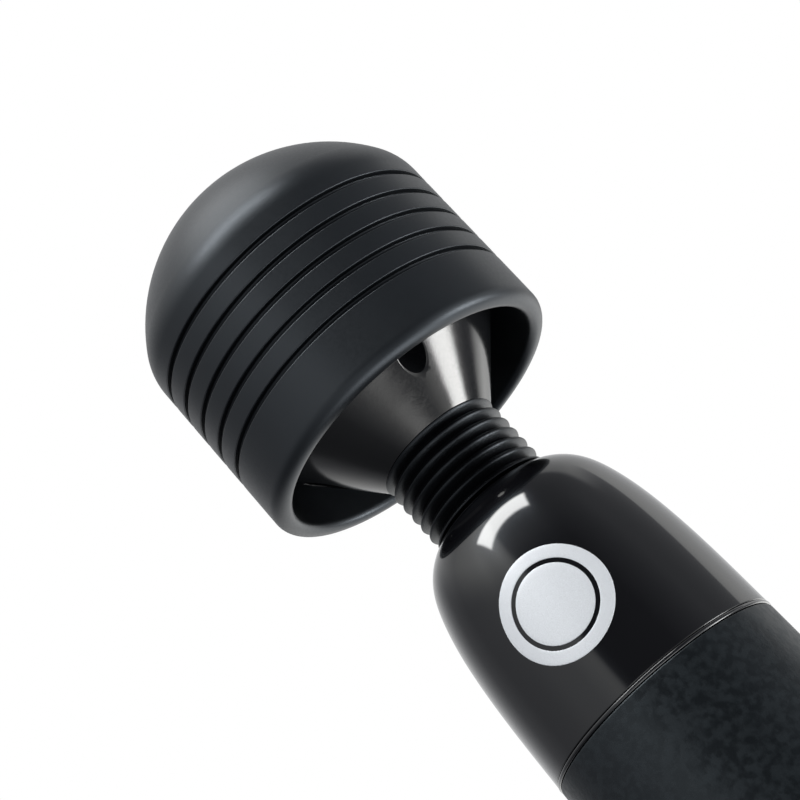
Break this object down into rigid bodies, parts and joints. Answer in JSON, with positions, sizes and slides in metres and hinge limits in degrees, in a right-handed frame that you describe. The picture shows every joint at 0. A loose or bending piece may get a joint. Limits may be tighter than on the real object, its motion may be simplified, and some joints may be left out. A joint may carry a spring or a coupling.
{
  "type": "handheld wand massager",
  "caption": "Handheld wand massager: ribbed dome head on a bending ridged neck, gloss shoulder, soft grip, push buttons on the front.",
  "frame": {"origin": "centre of the base ring that the wand stands on", "axes": "+Z along the wand from the base to the head; the badge and buttons face -Y"},
  "size_m": [0.06, 0.06, 0.325],
  "materials": {
    "silicone_black": "fine matte silicone",
    "gloss_black": "polished piano black",
    "soft_grip": "soft-touch leather grain",
    "bellows_rubber": "fine matte rubber",
    "silver": "satin silver",
    "button_rubber": "matte",
    "lens": "milky",
    "pad_rubber": "matte",
    "steel": "machined",
    "zinc_weight": "sintered",
    "spring_steel": "drawn wire",
    "inner_plastic": "moulded",
    "board": "solder mask",
    "component": "moulded",
    "copper": "enamelled copper",
    "magnet": "ferrite",
    "carbon": "carbon",
    "cell_wrap": "shrink wrap",
    "bronze": "sintered bronze",
    "coupling_rubber": "polyurethane",
    "wire": "insulation",
    "socket_black": "moulded"
  },
  "bodies": {
    "handle": {"shoulder_shell": "gloss_black", "trim_ring_upper": "gloss_black", "grip_sleeve": "soft_grip", "trim_ring_lower": "gloss_black", "end_cap": "gloss_black", "base_pad": "pad_rubber", "badge": "silver", "control_bezel": "gloss_black", "indicator_lens": "lens", "handle_front_shell": "inner_plastic", "handle_rear_shell": "inner_plastic", "shell_screws": "steel", "end_cap_screws": "steel", "base_bulkhead": "inner_plastic", "dc_inlet": "socket_black", "circuit_board": "board", "tact_switches": "component", "indicator_led": "lens", "board_components": "component", "battery_cells": "cell_wrap", "battery_holder": "inner_plastic", "motor_can": "steel", "motor_end_bell": "inner_plastic", "motor_bushes": "bronze", "motor_magnets": "magnet", "motor_brushes": "carbon", "motor_mount": "steel", "motor_mount_screws": "steel", "motor_isolator": "coupling_rubber", "motor_leads": "wire", "inlet_leads": "wire", "neck_collar_lower": "inner_plastic"},
    "rotor": {"motor_shaft": "steel", "motor_armature": "steel", "motor_windings": "copper", "commutator": "copper", "drive_hub": "steel", "drive_coupling": "coupling_rubber"},
    "neck": {"neck_bellows": "bellows_rubber", "neck_spring": "spring_steel"},
    "head": {"head_cap": "silicone_black", "head_core": "inner_plastic", "core_plate": "inner_plastic", "head_cone": "gloss_black", "cone_screws": "steel", "lower_bearing_outer_ring": "steel", "upper_bearing_outer_ring": "steel", "neck_collar_upper": "inner_plastic"},
    "eccentric": {"eccentric_shaft": "steel", "eccentric_weight": "zinc_weight", "set_screw": "steel", "shaft_clips": "spring_steel", "lower_bearing_inner_ring": "steel", "upper_bearing_inner_ring": "steel"},
    "lower_balls": {"lower_bearing_balls": "steel"},
    "upper_balls": {"upper_bearing_balls": "steel"},
    "power_button": {"button_power": "button_rubber"},
    "minus_button": {"button_minus": "button_rubber"},
    "plus_button": {"button_plus": "button_rubber"}
  },
  "joints": [
    {"name": "neck_flex_fore", "type": "hinge", "parent": "handle", "child": "neck", "pos_m": [0, 0, 0.2505], "axis": [1, 0, 0], "range_deg": [-12, 12], "stiffness_Nm_per_rad": 3, "deforming": ["neck_bellows", "neck_spring", "drive_coupling"]},
    {"name": "neck_flex_side", "type": "hinge", "parent": "neck", "child": "head", "pos_m": [0, 0, 0.2579], "axis": [0, 1, 0], "range_deg": [-12, 12], "stiffness_Nm_per_rad": 3},
    {"name": "motor_spin", "type": "hinge", "parent": "handle", "child": "rotor", "pos_m": [0, 0, 0.21], "axis": [0, 0, 1], "continuous": true},
    {"name": "eccentric_spin", "type": "hinge", "parent": "head", "child": "eccentric", "pos_m": [0, 0, 0.29], "axis": [0, 0, 1], "continuous": true},
    {"name": "lower_balls_orbit", "type": "hinge", "parent": "head", "child": "lower_balls", "pos_m": [0, 0, 0.2835], "axis": [0, 0, 1], "continuous": true},
    {"name": "upper_balls_orbit", "type": "hinge", "parent": "head", "child": "upper_balls", "pos_m": [0, 0, 0.3115], "axis": [0, 0, 1], "continuous": true},
    {"name": "power_press", "type": "slide", "parent": "handle", "child": "power_button", "axis": [0, 1, 0], "range_m": [0, 0.0008], "stiffness_N_per_m": 400},
    {"name": "minus_press", "type": "slide", "parent": "handle", "child": "minus_button", "axis": [0, 1, 0], "range_m": [0, 0.0008], "stiffness_N_per_m": 400},
    {"name": "plus_press", "type": "slide", "parent": "handle", "child": "plus_button", "axis": [0, 1, 0], "range_m": [0, 0.0008], "stiffness_N_per_m": 400}
  ],
  "couplings": [
    {"joint": "eccentric_spin", "follows": "motor_spin", "ratio": 1},
    {"joint": "lower_balls_orbit", "follows": "motor_spin", "ratio": 0.3524},
    {"joint": "upper_balls_orbit", "follows": "motor_spin", "ratio": 0.3524}
  ]
}
